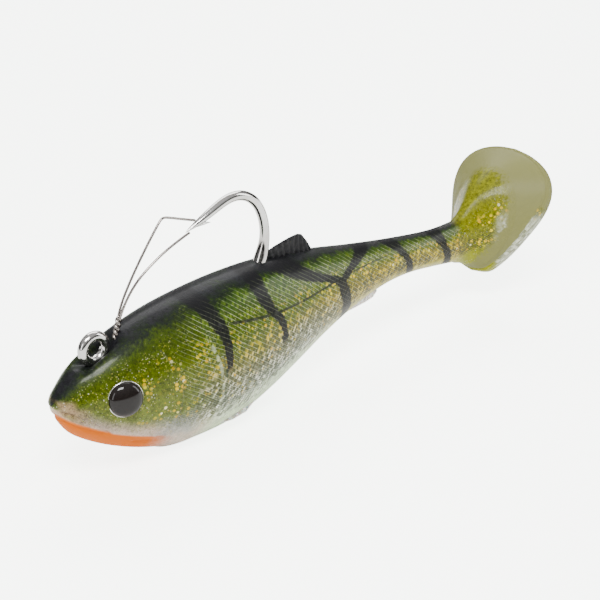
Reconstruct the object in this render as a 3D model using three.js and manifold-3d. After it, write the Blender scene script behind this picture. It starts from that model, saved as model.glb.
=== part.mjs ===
// A weedless swimbait: a soft plastic perch on a lead-weighted jig hook, with glued-on eyes, a sprung wire
// weed guard and a paddle tail. Millimetres. +X runs from the nose to the tail, +Z is up, and the lure
// stands on the flat of its belly. The outlines are drawn from the nose, at x 0 and z 0, and the whole
// group is then set down with the middle of its box at the origin.
import * as THREE from "three";
import { mergeVertices } from "three/addons/utils/BufferGeometryUtils.js";
import Module from "manifold-3d";

// ---- Driving dimensions -------------------------------------------------------------------------
const BODY_LENGTH = 125; // nose to the heel of the paddle, near enough
const BACK_RISE = 13.2; // highest point of the back above the nose
const BELLY_DROP = 20.8; // lowest point of the belly below the nose
const HALF_WIDTH = 11.2; // widest point of the flank from the middle plane
const BELLY_FLAT = 1; // depth planed off the belly, so that the lure stands
const GAP = 0.3; // clearance between pieces that touch
const WAIST_X = 72; // the bend behind the hook, where the soft body first flexes
const WAIST_LENGTH = 5; // length of soft body that gives at the waist
const WRIST_X = 110; // the bend in front of the paddle
const WRIST_LENGTH = 4.4; // length of soft body that gives at the wrist
const HOOK_WIRE = 2.1; // diameter of the hook's wire
const LINE_TIE_HOLE = 3.3; // hole of the line tie
const LINE_TIE_AT = [10.3, 7.9]; // centre of the line tie, x and z
const SHANK_DROP = 1.5; // the shank's depth below the nose
const POINT_LENGTH = 9; // the ground part of the hook's spear
const BARB_LENGTH = 3.2;
const GUARD_WIRE = 0.56; // diameter of the weed guard's spring wire
const FERRULE_DIAMETER = 1.6; // twisted root of the weed guard
const EYE_DIAMETER = 7.5; // glued-on eye
const EYE_DOME = 1.8; // height of the eye's lens
const EYE_DISC = 0.7; // thickness of the printed disc behind the lens
const EYE_AT = [11.6, -0.8]; // centre of the eye, x and z
const EYE_YAW = 16; // degrees that the eye looks forward
const EYE_TILT = 8; // degrees that the eye looks up
const PADDLE_WIDTH = 28;
const PADDLE_HEIGHT = 31.5; // heel to top, along the paddle
const PADDLE_THICKNESS = 3;
const PADDLE_LEAN = 28; // degrees that the top of the paddle leans back
const PADDLE_HEEL = -11.6; // z of the paddle's heel
const FIN_THICKNESS = 1.1;
const DORSAL_FIN_HEIGHT = 4;
const DORSAL_FIN_X = [56.6, 69.2];
const ANAL_FIN_X = [79, 90.5];
const ANAL_FIN_DROP = 1.8;
const PELVIC_FIN_X = [36, 47];
const WEIGHT_LENGTH = 27; // the lead cast round the shank
const WEIGHT_HALF_WIDTH = 4.6;
const WEIGHT_HALF_HEIGHT = 6.2;
const WEIGHT_X = 12; // front of the lead
const FOIL_THICKNESS = 0.5; // holographic foil beside the lead
const FOIL_SIZE = [24, 9]; // its length and height

const ROUND = 24; // sides of the body's sections
const WIRE_SIDES = 8;
const degrees = THREE.MathUtils.degToRad;

// ---- Joining and cutting ------------------------------------------------------------------------
const wasm = await Module();
wasm.setup();

// A closed geometry as a solid that can be joined and cut.
function solid(geometry, matrix) {
  const plain = geometry.index ? geometry.toNonIndexed() : geometry.clone();
  const shape = new THREE.BufferGeometry();
  shape.setAttribute("position", plain.getAttribute("position"));
  if (matrix) shape.applyMatrix4(matrix);
  const merged = mergeVertices(shape, 1e-4);
  return new wasm.Manifold(
    new wasm.Mesh({
      numProp: 3,
      vertProperties: merged.attributes.position.array,
      triVerts: new Uint32Array(merged.index.array),
    }),
  );
}

function geometryOf(made) {
  const { vertProperties, triVerts } = made.getMesh();
  const geometry = new THREE.BufferGeometry();
  geometry.setAttribute("position", new THREE.BufferAttribute(vertProperties, 3));
  geometry.setIndex(new THREE.BufferAttribute(triVerts, 1));
  geometry.computeVertexNormals();
  return geometry;
}

// ---- The fish's outline -------------------------------------------------------------------------
// A smooth line through points of [share of the body's length, share of a size], as a function of x.
function outline(points, size) {
  const curve = new THREE.SplineCurve(
    points.map(([along, share]) => new THREE.Vector2(along * BODY_LENGTH, share * size)),
  );
  const line = curve.getPoints(400);
  return (x) => {
    const next = line.findIndex((p) => p.x >= x);
    if (next <= 0) return (next < 0 ? line[line.length - 1] : line[0]).y;
    const [a, b] = [line[next - 1], line[next]];
    return a.y + ((b.y - a.y) * (x - a.x)) / (b.x - a.x);
  };
}

const back = outline(
  [
    [0, 0.05], [0.013, 0.16], [0.045, 0.41], [0.085, 0.58], [0.135, 0.74], [0.2, 0.875], [0.28, 0.965],
    [0.36, 1], [0.45, 0.97], [0.56, 0.8], [0.66, 0.6], [0.77, 0.4], [0.88, 0.25], [0.98, 0.25],
  ],
  BACK_RISE,
);
const belly = outline(
  [
    [0, -0.07], [0.01, -0.2], [0.03, -0.38], [0.08, -0.61], [0.14, -0.81], [0.2, -0.94], [0.27, -1],
    [0.34, -0.98], [0.42, -0.85], [0.5, -0.67], [0.57, -0.5], [0.65, -0.34], [0.73, -0.245], [0.8, -0.235],
    [0.88, -0.3], [0.98, -0.4],
  ],
  BELLY_DROP,
);
const flank = outline(
  [
    [0, 0.16], [0.013, 0.32], [0.045, 0.52], [0.09, 0.7], [0.15, 0.86], [0.22, 0.97], [0.29, 1],
    [0.37, 0.94], [0.46, 0.79], [0.56, 0.6], [0.65, 0.46], [0.75, 0.35], [0.86, 0.28], [0.98, 0.27],
  ],
  HALF_WIDTH,
);
// Height of the widest point of the flank, between belly and back.
const waterline = (x) => belly(x) + 0.52 * (back(x) - belly(x));

// One section of the body: an oval from bottom to top, a little sharper than an ellipse at both ends.
function section(x, bottom, top, halfWidth) {
  const middle = bottom + 0.52 * (top - bottom);
  return Array.from({ length: ROUND }, (_, k) => {
    const angle = (2 * Math.PI * k) / ROUND;
    const [c, s] = [Math.cos(angle), Math.sin(angle)];
    const height = s > 0 ? top - middle : middle - bottom;
    return [x, halfWidth * c, middle + height * s * Math.pow(Math.abs(s), 0.1)];
  });
}

// The sections between two stations, with their skin moved out by a margin.
function bodySections(start, end, steps, margin = 0) {
  return Array.from({ length: steps + 1 }, (_, i) => {
    // stations crowd towards a start at the nose, where the outline turns fastest
    const t = start === 0 ? Math.pow(i / steps, 1.6) : i / steps;
    const x = start + (end - start) * t;
    return section(x, belly(x) - margin, back(x) + margin, flank(x) + margin);
  });
}
const bodyBetween = (...range) => loft(bodySections(...range));

// A closed surface over rings of points, with a flat cap at each end.
function loft(rings) {
  const count = rings[0].length;
  const positions = rings.flat(2);
  const indices = [];
  for (let i = 0; i + 1 < rings.length; i++) {
    for (let k = 0; k < count; k++) {
      const [a, b] = [i * count + k, i * count + ((k + 1) % count)];
      indices.push(a, b, a + count, b, b + count, a + count);
    }
  }
  const middle = (ring) => [0, 1, 2].map((n) => ring.reduce((sum, p) => sum + p[n], 0) / count);
  const first = positions.length / 3;
  positions.push(...middle(rings[0]), ...middle(rings[rings.length - 1]));
  const last = (rings.length - 1) * count;
  for (let k = 0; k < count; k++) {
    indices.push(first, (k + 1) % count, k);
    indices.push(first + 1, last + k, last + ((k + 1) % count));
  }
  const geometry = new THREE.BufferGeometry();
  geometry.setAttribute("position", new THREE.Float32BufferAttribute(positions, 3));
  geometry.setIndex(indices);
  return geometry;
}

// ---- Wires --------------------------------------------------------------------------------------
// A round wire along points in the middle plane or beside it.
function wire(points, diameter, steps) {
  const section = new THREE.Shape().absarc(0, 0, diameter / 2, 0, 2 * Math.PI);
  const spots = points.map((p) => new THREE.Vector3(...p));
  const extrudePath = new THREE.CatmullRomCurve3(spots, false, "centripetal");
  const curveSegments = WIRE_SIDES / 2;
  return new THREE.ExtrudeGeometry(section, { steps, curveSegments, bevelEnabled: false, extrudePath });
}

// Turns a shape that points along +Y to point along a direction, with its foot at a place.
function placed(at, direction) {
  const turn = new THREE.Quaternion().setFromUnitVectors(
    new THREE.Vector3(0, 1, 0),
    new THREE.Vector3(...direction).normalize(),
  );
  return new THREE.Matrix4().compose(new THREE.Vector3(...at), turn, new THREE.Vector3(1, 1, 1));
}

function lathed(profile, sides) {
  return new THREE.LatheGeometry(profile.map(([r, y]) => new THREE.Vector2(r, y)), sides);
}

// The hook is one wire: the line tie, the neck down into the head, the shank through the lead, the bend
// out of the back, and the spear over the back with its point towards the nose.
const TIE_MEAN = (LINE_TIE_HOLE + HOOK_WIRE) / 2;
const shankZ = -SHANK_DROP;
const spearRoot = [43.2, 28.5];
const spearTip = [34.3, 25.2];
function hookSolid(extra) {
  const [tieX, tieZ] = LINE_TIE_AT;
  const ring = new THREE.TorusGeometry(TIE_MEAN, HOOK_WIRE / 2 + extra, WIRE_SIDES, 24);
  const path = [
    [tieX + TIE_MEAN * 0.75, 0, tieZ - TIE_MEAN * 0.66], [tieX + 4.2, 0, tieZ - 5.2],
    [tieX + 8.5, 0, shankZ], [tieX + 20, 0, shankZ], [44, 0, shankZ + 0.6], [50.5, 0, 4.6],
    [54.1, 0, 12], [56, 0, 17.8], [55.6, 0, 22.2],
    [53.5, 0, 26.6], [50, 0, 29], [46.4, 0, 29.4], [spearRoot[0], 0, spearRoot[1]],
  ];
  const spearX = spearTip[0] - spearRoot[0];
  const spearZ = spearTip[1] - spearRoot[1];
  const spearLength = Math.hypot(spearX, spearZ);
  const radius = HOOK_WIRE / 2 + extra;
  const point = lathed(
    [
      [0, -0.4], [radius, -0.4], [radius, spearLength - POINT_LENGTH],
      [radius * 0.62, spearLength - POINT_LENGTH / 2], [0, spearLength],
    ],
    WIRE_SIDES,
  );
  const barb = lathed([[0, 0], [0.5, 0.3], [0.34, BARB_LENGTH * 0.6], [0, BARB_LENGTH]], 6);
  const barbFoot = [spearTip[0] + 3.6, 0, spearTip[1] + 0.9];
  return solid(wire(path, HOOK_WIRE + 2 * extra, 72))
    .add(solid(ring, new THREE.Matrix4().makeRotationX(Math.PI / 2).setPosition(tieX, 0, tieZ)))
    .add(solid(point, placed([spearRoot[0], 0, spearRoot[1]], [spearX, 0, spearZ])))
    .add(solid(barb, placed(barbFoot, [1, 0, -0.12])));
}

// ---- The lead and the foil ----------------------------------------------------------------------
// A bullet of lead on the shank, with a collar behind it that keeps the plastic from sliding.
function weightSolid(extra) {
  // share of the half width, distance along the lead, and which way the margin moves the point along it
  const profile = [
    [0.5, 0.8, -1], [0.85, 4, -0.7], [1, 9, 0], [0.85, WEIGHT_LENGTH - 10, 0.3],
    [0.45, WEIGHT_LENGTH - 5, 0],
    [0.42, WEIGHT_LENGTH - 3, -1], [0.62, WEIGHT_LENGTH - 1.6, -1], [0.4, WEIGHT_LENGTH, 1],
  ].map(([share, y, way]) => [share * WEIGHT_HALF_WIDTH + extra, y + way * extra]);
  profile.unshift([0, -extra]);
  profile.push([0, WEIGHT_LENGTH + extra]);
  const lean = new THREE.Matrix4().makeScale(1, 1, WEIGHT_HALF_HEIGHT / WEIGHT_HALF_WIDTH);
  return solid(lathed(profile, 16), placed([WEIGHT_X + 2, 0, shankZ - 1.5], [1, 0, 0]).multiply(lean));
}

const foilY = WEIGHT_HALF_WIDTH + 2 * GAP + FOIL_THICKNESS / 2;
function foilBox(side, extra) {
  const [length, height] = FOIL_SIZE;
  const box = new THREE.BoxGeometry(length + 2 * extra, FOIL_THICKNESS + 2 * extra, height + 2 * extra);
  return box.translate(WEIGHT_X + 9 + length / 2, side * foilY, shankZ - 2);
}

// ---- The weed guard -----------------------------------------------------------------------------
const guardFork = [16.9, 0, 12.6];
const guardFoot = [15, 0, 5.2];
const guardLine = guardFork.map((v, n) => v - guardFoot[n]);
const ferruleLength = Math.hypot(...guardLine);
function ferruleSolid(extra) {
  const r = FERRULE_DIAMETER / 2 + extra;
  const profile = [[0, -extra], [r, -extra], [r, ferruleLength], [0, ferruleLength]];
  return solid(lathed(profile, 10), placed(guardFoot, guardLine));
}
const armSplay = FERRULE_DIAMETER / 2 - GUARD_WIRE / 2;
function guardArm(side, points) {
  return wire(points.map(([x, y, z]) => [x, side * y, z]), GUARD_WIRE, 26);
}
const armStart = [guardFork[0] + 0.25, armSplay, guardFork[2] + GAP + 0.1];
// The right arm rises to a corner in front of the point and runs back beside the spear.
const rightArm = [
  armStart, [19.9, 0.9, 17.6], [24.6, 1.4, 23.3], [29.2, 1.8, 28.4], [29.8, 1.85, 28.8], [30.5, 1.9, 28.8],
  [33.5, 1.85, 27.9], [38.4, 1.75, 26.2],
];
// The left arm sweeps in one curve up to the point and ends beside it.
const leftArm = [
  armStart, [18.6, 0.8, 16.6], [21.3, 1.2, 19.8], [24.8, 1.5, 22.2], [28.8, 1.65, 24.3], [34, 1.75, 25.9],
];

// ---- Fins ---------------------------------------------------------------------------------------
// A thin fin between an edge just under the skin and a free edge, both as points of x and z, cut back to
// stand clear of the body, which is taken from behind bodyStart.
function fin(rootEdge, freeEdge, bodyStart) {
  const shape = new THREE.Shape([...rootEdge, ...freeEdge].map(([x, z]) => new THREE.Vector2(x, z)));
  const flat = new THREE.ExtrudeGeometry(shape, { depth: FIN_THICKNESS, bevelEnabled: false });
  flat.rotateX(Math.PI / 2).translate(0, FIN_THICKNESS / 2, 0);
  return geometryOf(solid(flat).subtract(solid(bodyBetween(bodyStart, 100, 30, GAP))));
}
function along([start, end], count) {
  return Array.from({ length: count }, (_, n) => start + ((end - start) * n) / (count - 1));
}
const dorsalRoot = along(DORSAL_FIN_X, 6).map((x) => [x, back(x) - 0.5]);
const [dorsalStart, dorsalEnd] = DORSAL_FIN_X;
const dorsalFree = [
  [dorsalEnd - 0.7, back(dorsalEnd) + 1.3], [dorsalEnd - 2.2, back(dorsalEnd) + DORSAL_FIN_HEIGHT - 0.6],
  [dorsalEnd - 4, back(dorsalEnd - 4) + DORSAL_FIN_HEIGHT - 0.4],
  [dorsalEnd - 6, back(dorsalEnd - 6) + DORSAL_FIN_HEIGHT - 0.8],
  [dorsalStart + 0.4, back(dorsalStart) + 1.7],
];
const analRoot = along(ANAL_FIN_X, 5).map((x) => [x, belly(x) + 0.5]).reverse();
const analEnd = ANAL_FIN_X[1];
const analFree = [
  [ANAL_FIN_X[0] + 4, belly(ANAL_FIN_X[0] + 4) - 1.4],
  [analEnd - 2.2, belly(analEnd) - ANAL_FIN_DROP - 1.2],
  [analEnd - 0.6, belly(analEnd) - ANAL_FIN_DROP],
];

// ---- The paddle ---------------------------------------------------------------------------------
// A drop outline, narrow at the heel: shares of the half width and of the height, up the right side.
const DROP = [
  [0.16, 0.005], [0.36, 0.05], [0.56, 0.18], [0.78, 0.36], [0.94, 0.53], [1, 0.65], [0.97, 0.76],
  [0.84, 0.86],
  [0.62, 0.935], [0.32, 0.984],
];
function paddleShape() {
  const right = DROP.map(([w, h]) => new THREE.Vector3((w * PADDLE_WIDTH) / 2, h * PADDLE_HEIGHT, 0));
  const left = right.map((p) => new THREE.Vector3(-p.x, p.y, 0)).reverse();
  const crown = new THREE.Vector3(0, PADDLE_HEIGHT, 0);
  const rim = new THREE.CatmullRomCurve3([...right, crown, ...left], true, "centripetal");
  return new THREE.Shape(rim.getPoints(48).slice(0, -1).map((p) => new THREE.Vector2(p.x, p.y)));
}
const leanBack = degrees(PADDLE_LEAN);
const paddleX = BODY_LENGTH - 1; // the front face at the heel
// Carries the paddle's own plane, x across, y up and z towards the tail, to its place.
function paddlePlace() {
  const across = new THREE.Vector3(0, 1, 0);
  const up = new THREE.Vector3(Math.sin(leanBack), 0, Math.cos(leanBack));
  const rear = new THREE.Vector3().crossVectors(across, up);
  return new THREE.Matrix4().makeBasis(across, up, rear).setPosition(paddleX, 0, PADDLE_HEEL);
}
function paddleGeometry() {
  const bevel = PADDLE_THICKNESS * 0.3;
  return new THREE.ExtrudeGeometry(paddleShape(), {
    depth: PADDLE_THICKNESS - 2 * bevel, bevelEnabled: true, bevelThickness: bevel, bevelSize: bevel,
    bevelOffset: -bevel, bevelSegments: 2,
  }).translate(0, 0, bevel);
}

// The stalk runs on from the body and flares like a trumpet into the face of the paddle. Each section:
// share of the way from the end of the stalk to the top of the paddle, shares of the paddle's height
// at its lowest and highest points, and the share of the paddle's half width.
const FLARE = [
  [0.1, 0.115, 0.555, 0.21], [0.2, 0.085, 0.63, 0.25], [0.28, 0.065, 0.71, 0.34], [0.36, 0.06, 0.775, 0.47],
  [0.45, 0.07, 0.825, 0.6], [0.57, 0.15, 0.885, 0.73], [0.7, 0.26, 0.93, 0.8], [0.86, 0.44, 0.955, 0.8],
  [1, 0.64, 0.965, 0.66],
];
function stalkGeometry() {
  const foot = BODY_LENGTH * 0.938;
  const tall = PADDLE_HEIGHT * Math.cos(leanBack);
  const run = paddleX + PADDLE_HEIGHT * Math.sin(leanBack) - foot;
  const rings = bodySections(wristRear, foot, 3);
  for (const [way, low, high, wide] of FLARE) {
    const [bottom, top] = [PADDLE_HEEL + tall * low, PADDLE_HEEL + tall * high];
    rings.push(section(foot + run * way, bottom, top, (PADDLE_WIDTH / 2) * wide));
  }
  const beyond = new THREE.BoxGeometry(80, 120, 40).translate(0, 20, 20 - GAP);
  return geometryOf(solid(loft(rings)).subtract(solid(beyond, paddlePlace())));
}

// ---- Materials ----------------------------------------------------------------------------------
const soft = (color) => new THREE.MeshStandardMaterial({ color, roughness: 0.35, metalness: 0 });
const metal = (color, roughness) => new THREE.MeshStandardMaterial({ color, roughness, metalness: 1 });
const perchGreen = soft(0x5c7a2c);
const paddleOlive = soft(0x8d8f5c);
const finBlack = soft(0x2b2b2b);
const finClear = soft(0xb9b3a4);
const nickel = metal(0xd8d6d2, 0.15);
const lead = metal(0x6d6f73, 0.6);
const springSteel = metal(0x9a9691, 0.3);
const foil = metal(0xd9d2a0, 0.2);
const lensBlack = new THREE.MeshStandardMaterial({ color: 0x1c1918, roughness: 0.05, metalness: 0 });

// ---- Assembly -----------------------------------------------------------------------------------
const lure = new THREE.Group();
function add(name, geometry, material) {
  const mesh = new THREE.Mesh(geometry, material);
  mesh.name = name;
  lure.add(mesh);
  return mesh;
}

// The trunk is planed flat under the belly and hollowed for what is cast into it.
const bellyPlane = -BELLY_DROP + BELLY_FLAT;
const planer = new THREE.BoxGeometry(BODY_LENGTH, 4 * HALF_WIDTH, 10);
planer.translate(BODY_LENGTH / 2, 0, bellyPlane - 5);
const waistFront = WAIST_X - WAIST_LENGTH / 2;
const waistRear = WAIST_X + WAIST_LENGTH / 2;
const wristFront = WRIST_X - WRIST_LENGTH / 2;
const wristRear = WRIST_X + WRIST_LENGTH / 2;

// An eye sits in a shallow socket, square to the side of the head.
function eyeBasis(side) {
  const yaw = degrees(EYE_YAW);
  const tilt = degrees(EYE_TILT);
  const outward = new THREE.Vector3(-Math.sin(yaw), side * Math.cos(yaw), Math.tan(tilt)).normalize();
  const x = EYE_AT[0];
  const z = EYE_AT[1];
  const height = z > waterline(x) ? back(x) - waterline(x) : waterline(x) - belly(x);
  const skin = flank(x) * Math.sqrt(1 - ((z - waterline(x)) / height) ** 2);
  const seat = new THREE.Vector3(x, side * skin, z).addScaledVector(outward, -1.3);
  return { outward: outward.toArray(), seat: seat.toArray() };
}
const eyeRadius = EYE_DIAMETER / 2;
function eyePart(side, profile) {
  const { outward, seat } = eyeBasis(side);
  return solid(lathed(profile, 22), placed(seat, outward));
}
const socketProfile = [[0, -GAP], [eyeRadius + GAP, -GAP], [eyeRadius + GAP, 9], [0, 9]];
const discProfile = [[0, 0], [eyeRadius, 0], [eyeRadius, EYE_DISC], [0, EYE_DISC]];
const lensFoot = EYE_DISC + GAP;
const lensProfile = [
  [0, lensFoot], [eyeRadius, lensFoot],
  ...[22.5, 45, 67.5]
    .map(degrees)
    .map((a) => [eyeRadius * Math.cos(a), lensFoot + 0.25 + EYE_DOME * Math.sin(a)]),
  [0, lensFoot + 0.25 + EYE_DOME],
];

let trunk = solid(bodyBetween(0, waistFront, 30)).subtract(solid(planer));
// a short slot across the widest part of the lead joins the pockets of the foils to its own
const slot = new THREE.BoxGeometry(3, 2 * foilY, 2).translate(WEIGHT_X + 11, 0, shankZ - 1.5);
const castIn = [hookSolid(GAP), weightSolid(GAP), ferruleSolid(GAP), solid(slot)];
for (const side of [-1, 1]) castIn.push(solid(foilBox(side, GAP)), eyePart(side, socketProfile));
for (const piece of castIn) trunk = trunk.subtract(piece);

const hook = hookSolid(0);
const ferrule = ferruleSolid(0);
add("trunk", geometryOf(trunk), perchGreen);
add("hook", geometryOf(hook), nickel);
add("lead_weight", geometryOf(weightSolid(0).subtract(hookSolid(GAP))), lead);
add("guard_root", geometryOf(ferrule), springSteel);
add("dorsal_fin", fin(dorsalRoot, dorsalFree, 50), finBlack);
for (const [side, word] of [[-1, "left"], [1, "right"]]) {
  add(`flash_foil_${word}`, foilBox(side, 0), foil);
  add(`eye_disc_${word}`, geometryOf(eyePart(side, discProfile)), foil);
  add(`eye_lens_${word}`, geometryOf(eyePart(side, lensProfile)), lensBlack);
  // a small leaf of a fin, laid back along each side of the belly
  const halfLength = (PELVIC_FIN_X[1] - PELVIC_FIN_X[0]) / 2;
  const leaf = new THREE.SphereGeometry(1, 12, 8).scale(halfLength, FIN_THICKNESS / 2, 1.9);
  leaf.rotateX(side * degrees(38)).rotateY(degrees(-9));
  const finX = (PELVIC_FIN_X[0] + PELVIC_FIN_X[1]) / 2;
  leaf.translate(finX, side * 6.1, belly(finX) + 4.3);
  const besideBody = solid(leaf).subtract(solid(bodyBetween(20, waistFront, 16, GAP)));
  add(`pelvic_fin_${word}`, geometryOf(besideBody), finClear);
  add(`guard_arm_${word}`, guardArm(side, side < 0 ? leftArm : rightArm), springSteel);
}
add("waist", bodyBetween(waistFront + GAP, waistRear - GAP, 3), perchGreen);
add("rear_body", bodyBetween(waistRear, wristFront - GAP, 12), perchGreen);
add("anal_fin", fin(analRoot, analFree, 74), finClear);
add("wrist", bodyBetween(wristFront, wristRear - GAP, 3), perchGreen);
add("tail_stalk", stalkGeometry(), perchGreen);
add("paddle", paddleGeometry().applyMatrix4(paddlePlace()), paddleOlive);

// The group's origin is under the middle of the lure's box, on the surface that it stands on.
const box = new THREE.Box3().setFromObject(lure, true);
lure.position.set(-(box.min.x + box.max.x) / 2, 0, -box.min.z);

export default lure;
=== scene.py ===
import bpy
import math
import numpy as np
from mathutils import Euler, Matrix, Vector


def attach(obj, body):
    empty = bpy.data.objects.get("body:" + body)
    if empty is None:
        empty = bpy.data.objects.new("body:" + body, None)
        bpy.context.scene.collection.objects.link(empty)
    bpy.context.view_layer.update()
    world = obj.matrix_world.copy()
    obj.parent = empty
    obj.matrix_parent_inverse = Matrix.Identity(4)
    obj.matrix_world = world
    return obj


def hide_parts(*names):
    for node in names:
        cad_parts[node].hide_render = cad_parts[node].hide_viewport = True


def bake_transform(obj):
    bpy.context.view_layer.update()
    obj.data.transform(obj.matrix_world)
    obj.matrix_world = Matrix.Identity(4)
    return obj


# ---- Camera, floor and light --------------------------------------------------------------------
# The lure stands on a white table and is seen from the front left and a little above, under wide soft
# lamps that leave a long bright streak in everything glossy.
MM = 0.001
NOSE = np.array([-70.54, 0.0, 19.8])  # the tip of the nose, from which the fish is measured, in mm
FLOOR_SEEN = 4.6  # how much more the floor glows to the camera than to the lure
FLOOR_GLOW = 0.22
BACKDROP_SEEN = 5.2  # the white behind the table
TENT_LIGHT = 0.6  # the dim tent that lights the lure from all round


def place(x, y, z):
    """A point given in millimetres from the nose, in metres in the row frame."""
    return Vector((NOSE[0] + x, NOSE[1] + y, NOSE[2] + z)) * MM


camera = bpy.data.objects.new("camera", bpy.data.cameras.new("camera"))
bpy.context.scene.collection.objects.link(camera)
camera.location = place(-145.6, -219.3, 148.2)
camera.rotation_euler = (place(66.2, 0, -0.5) - camera.location).to_track_quat("-Z", "Y").to_euler()
camera.data.sensor_width = 36
camera.data.lens = 92.6
camera.data.clip_start = 0.01
bpy.context.scene.camera = camera

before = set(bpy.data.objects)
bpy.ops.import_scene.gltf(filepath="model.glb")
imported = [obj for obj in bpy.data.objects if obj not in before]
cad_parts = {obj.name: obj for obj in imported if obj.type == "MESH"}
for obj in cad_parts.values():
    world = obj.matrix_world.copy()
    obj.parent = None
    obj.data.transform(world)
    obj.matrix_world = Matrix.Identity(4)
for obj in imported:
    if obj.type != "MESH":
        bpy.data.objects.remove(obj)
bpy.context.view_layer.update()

bpy.ops.mesh.primitive_plane_add(size=6, location=(0, 0, 0))
floor = bpy.context.object
floor.name = "floor"
floor_finish = bpy.data.materials.new("floor")
floor_finish.use_nodes = True
floor_surface = floor_finish.node_tree.nodes["Principled BSDF"]
floor_surface.inputs["Base Color"].default_value = (0.93, 0.94, 0.92, 1)
floor_surface.inputs["Roughness"].default_value = 0.6
floor_surface.inputs["Emission Color"].default_value = (0.96, 1.0, 0.95, 1)
floor_light = floor_finish.node_tree.nodes.new("ShaderNodeMath")
floor_light.operation = "MULTIPLY_ADD"
floor_seen = floor_finish.node_tree.nodes.new("ShaderNodeLightPath").outputs["Is Camera Ray"]
floor_finish.node_tree.links.new(floor_seen, floor_light.inputs[0])
floor_light.inputs[1].default_value = FLOOR_SEEN
floor_light.inputs[2].default_value = FLOOR_GLOW
floor_finish.node_tree.links.new(floor_light.outputs[0], floor_surface.inputs["Emission Strength"])
floor.data.materials.append(floor_finish)

world = bpy.data.worlds.new("studio")
bpy.context.scene.world = world
world.use_nodes = True
sky = world.node_tree
height = sky.nodes.new("ShaderNodeSeparateXYZ")
sky.links.new(sky.nodes.new("ShaderNodeTexCoord").outputs["Generated"], height.inputs["Vector"])
tent = sky.nodes.new("ShaderNodeValToRGB")
tent.color_ramp.elements[0].color = (0.05, 0.05, 0.05, 1)
tent.color_ramp.elements[0].position = 0.12
tent.color_ramp.elements[1].color = (1.0, 1.0, 1.0, 1)
tent.color_ramp.elements[1].position = 0.75
sky.links.new(height.outputs["Z"], tent.inputs["Fac"])
backdrop = sky.nodes.new("ShaderNodeBackground")
backdrop.inputs["Color"].default_value = (1.0, 1.0, 1.0, 1)
backdrop.inputs["Strength"].default_value = BACKDROP_SEEN
seen = sky.nodes.new("ShaderNodeMixShader")
sky.links.new(tent.outputs["Color"], sky.nodes["Background"].inputs["Color"])
sky.nodes["Background"].inputs["Strength"].default_value = TENT_LIGHT
sky.links.new(sky.nodes.new("ShaderNodeLightPath").outputs["Is Camera Ray"], seen.inputs["Fac"])
sky.links.new(sky.nodes["Background"].outputs[0], seen.inputs[1])
sky.links.new(backdrop.outputs[0], seen.inputs[2])
sky.links.new(seen.outputs[0], sky.nodes["World Output"].inputs["Surface"])

for name, at, size, power in [
    ("key", (-0.30, -0.35, 0.75), (0.45, 0.25), 11),
    ("rear", (0.35, 0.45, 0.6), (0.7, 0.4), 6),
    ("side", (0.75, -0.5, 0.35), (0.25, 0.6), 3),
    ("front", (-0.8, -0.15, 0.3), (0.2, 0.5), 1.6),
]:
    lamp = bpy.data.lights.new(name, "AREA")
    lamp.shape = "RECTANGLE"
    lamp.size, lamp.size_y = size
    lamp.energy = power
    holder = bpy.data.objects.new(name, lamp)
    holder.location = at
    holder.rotation_euler = (Vector((0, 0, 0.02)) - Vector(at)).to_track_quat("-Z", "Y").to_euler()
    bpy.context.scene.collection.objects.link(holder)


# ---- The body's shape ---------------------------------------------------------------------------
# The soft plastic fish is one casting from the nose to the rim of the paddle: a deep, blunt head, a
# thin tail, and behind it a wedge that swells into the paddle. It is built here as one run of rings and
# then shared out between four pieces: the front and rear of the body, the tail wedge and the paddle.
AROUND = 144  # points in each ring
WIDEST = 0.52  # where a section is widest, as a share of its height from the belly
BLUNT = 0.55  # how far the nose bulges in front of its first full ring, in mm
SHARED_AT = (92, 115.5)  # where the skin is divided between its pieces, in mm


def smooth_line(points):
    """An even curve through points, as two arrays: what it runs along and its value."""
    p = np.array(points, float)
    out = []
    for i in range(len(p) - 1):
        before, after = p[max(i - 1, 0)], p[min(i + 2, len(p) - 1)]
        v0, v1 = (p[i + 1] - before) / 2, (after - p[i]) / 2
        for t in np.linspace(0, 1, 24, endpoint=False):
            out.append(
                (2 * p[i] - 2 * p[i + 1] + v0 + v1) * t**3
                + (-3 * p[i] + 3 * p[i + 1] - 2 * v0 - v1) * t**2
                + v0 * t
                + p[i]
            )
    out.append(p[-1])
    out = np.array(out)
    return out[:, 0], out[:, 1]


back_line = smooth_line([
    (0, 0.7), (1.6, 2.1), (5.6, 5.4), (10.6, 7.7), (16.9, 9.8), (25, 11.6), (35, 12.7), (45, 13.2),
    (56, 12.8), (70, 10.6), (82.5, 7.9), (96, 5.3), (110, 3.3), (122, 3.3),
])
belly_line = smooth_line([
    (0, -2.3), (1.2, -5.3), (3.8, -8.8), (10, -13.2), (17.5, -17.0), (25, -19.5), (33.8, -20.5),
    (42.5, -20.2), (52.5, -17.7), (62.5, -13.9), (71, -10.4), (81, -7.1), (91, -5.1), (100, -4.9),
    (110, -6.2), (122, -8.3),
])
flank_line = smooth_line([
    (0, 1.8), (1.6, 3.6), (5.6, 5.8), (11, 7.8), (18.8, 9.6), (27.5, 10.9), (36, 11.2), (46, 10.5),
    (57.5, 8.8), (70, 6.7), (81, 5.2), (94, 3.9), (107.5, 3.1), (122, 3),
])
angles = np.linspace(0, 2 * math.pi, AROUND, endpoint=False)


def along(line, x):
    return np.interp(x, line[0], line[1])


def share_of_height(s):
    """The height of a ring's point from the belly up, as a share, from the sine of its angle."""
    return WIDEST + np.where(s > 0, 1 - WIDEST, WIDEST) * s * np.abs(s) ** 0.1


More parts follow.
